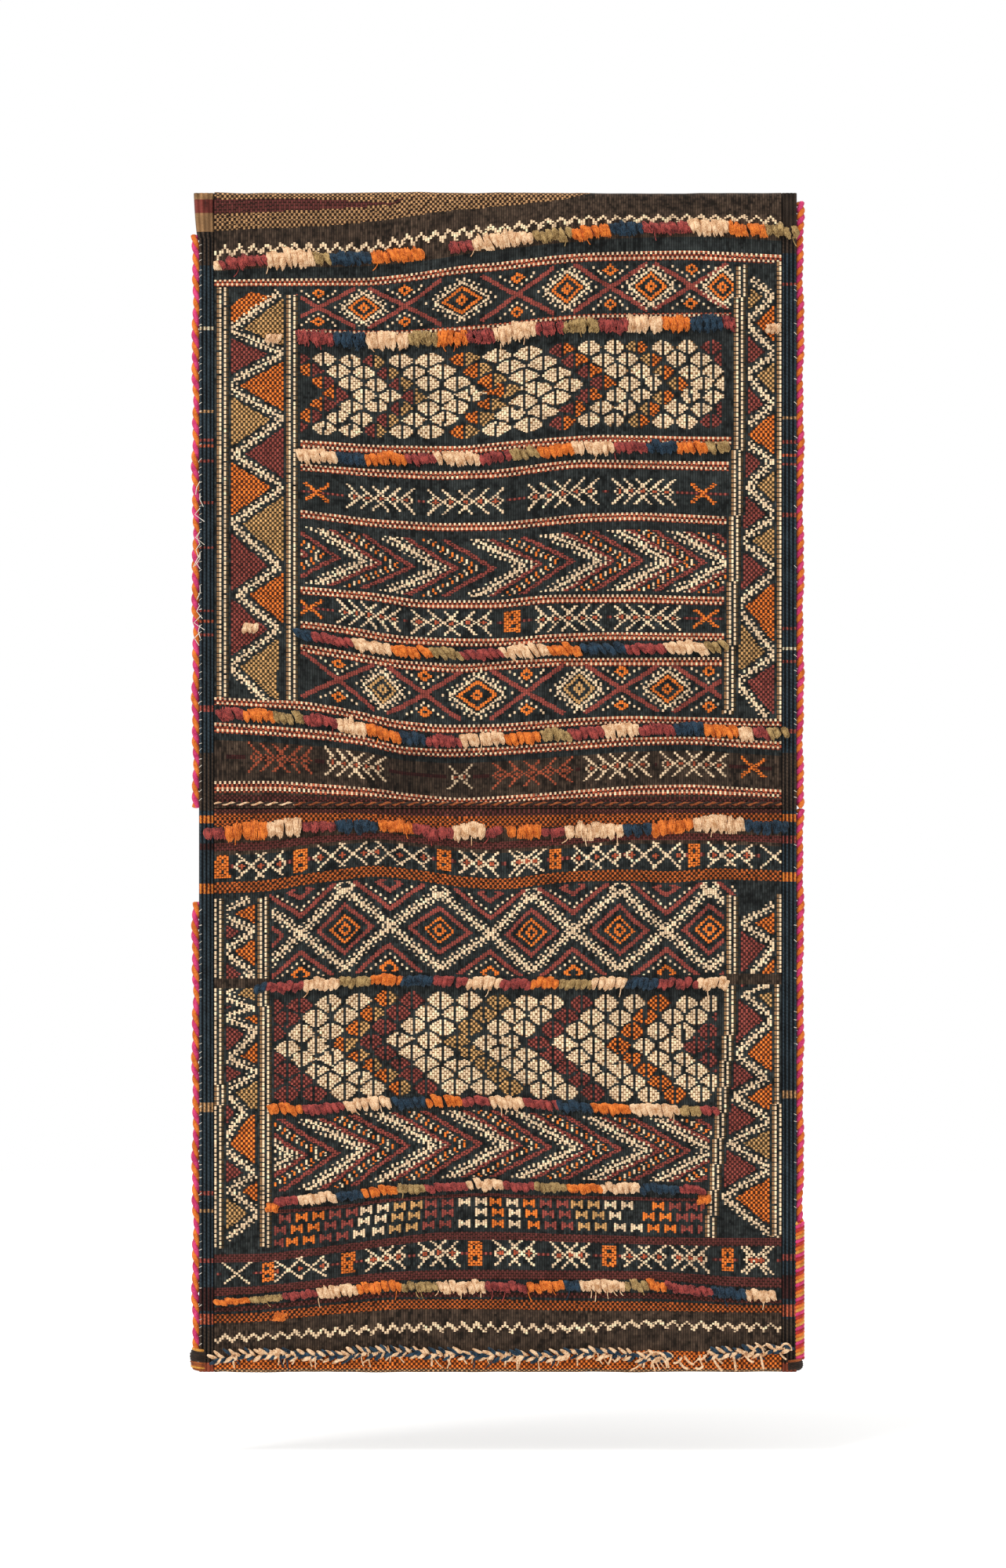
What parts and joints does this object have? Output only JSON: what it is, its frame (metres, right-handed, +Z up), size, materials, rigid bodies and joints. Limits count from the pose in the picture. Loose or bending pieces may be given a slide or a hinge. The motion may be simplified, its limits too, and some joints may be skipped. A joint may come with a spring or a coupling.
{
  "type": "kilim saddlebag",
  "caption": "Flat woven double saddlebag with tufted, brocaded faces, corded side seams and a pouch opening at each side of the middle.",
  "frame": {"origin": "the hanging point on the flat back, 30 mm below the upper edge, where a wall or rail holds the bag", "axes": "+Z up along the length as it hangs, +X to the right of the patterned face, +Y out of the plain back"},
  "size_m": [0.604, 0.0221, 1.149],
  "materials": {
    "ground_brown_weave": "dark brown wool kilim weave with stripes and cream zigzag",
    "patterned_weave": "blue-black wool ground with brocaded cream, orange, khaki and wine figures",
    "back_weave": "plain striped wool kilim weave",
    "selvedge_wool": "blue wool wrapped over warp ribs",
    "edging_cord": "orange and pink plied wool cord",
    "whipping_wool": "pink, orange and yellow wool whipping",
    "tuft_wool": "looped wool pile in cream, wine, khaki, navy and orange",
    "cream_yarn": "undyed two-ply wool yarn with dark yarn between",
    "knot_yarn": "dark brown wool knot"
  },
  "bodies": {
    "upper_pouch": {"upper_back": "back_weave", "upper_hem": "ground_brown_weave", "upper_left_border": "patterned_weave", "upper_right_border": "patterned_weave", "upper_fold": "ground_brown_weave", "upper_left_selvedge": "selvedge_wool", "upper_right_selvedge": "selvedge_wool", "upper_left_cord": "edging_cord", "upper_right_cord": "edging_cord", "tuft_row_1": "tuft_wool", "tuft_row_5_left": "tuft_wool", "tuft_row_5_right": "tuft_wool", "upper_lip_twining_left": "cream_yarn", "upper_lip_twining_right": "cream_yarn"},
    "upper_face": {"upper_field": "patterned_weave", "tuft_row_2": "tuft_wool", "tuft_row_3": "tuft_wool", "tuft_row_4": "tuft_wool", "tuft_row_5_middle": "tuft_wool", "upper_lip_twining_middle": "cream_yarn"},
    "lower_pouch": {"lower_back": "back_weave", "lower_hem": "ground_brown_weave", "lower_left_border": "patterned_weave", "lower_right_border": "patterned_weave", "lower_fold": "ground_brown_weave", "lower_left_selvedge": "selvedge_wool", "lower_right_selvedge": "selvedge_wool", "lower_left_cord": "edging_cord", "lower_right_cord": "edging_cord", "lower_right_whipping": "whipping_wool", "tuft_row_6_left": "tuft_wool", "tuft_row_6_right": "tuft_wool", "tuft_row_10": "tuft_wool", "hem_braid": "cream_yarn", "left_corner_knot": "knot_yarn", "right_corner_tassel": "knot_yarn"},
    "lower_face": {"lower_field": "patterned_weave", "tuft_row_6_middle": "tuft_wool", "tuft_row_7": "tuft_wool", "tuft_row_8": "tuft_wool", "tuft_row_9": "tuft_wool"}
  },
  "joints": [
    {"name": "saddle_fold", "type": "hinge", "parent": "upper_pouch", "child": "lower_pouch", "pos_m": [0, 0, -0.57], "axis": [1, 0, 0], "range_deg": [0, 172]},
    {"name": "upper_mouth", "type": "hinge", "parent": "upper_pouch", "child": "upper_face", "pos_m": [0, -0.0146, -0.048], "axis": [-1, 0, 0], "range_deg": [0, 8]},
    {"name": "lower_mouth", "type": "hinge", "parent": "lower_pouch", "child": "lower_face", "pos_m": [0, -0.0146, -1.021], "axis": [1, 0, 0], "range_deg": [0, 9], "stiffness_Nm_per_rad": 2}
  ]
}
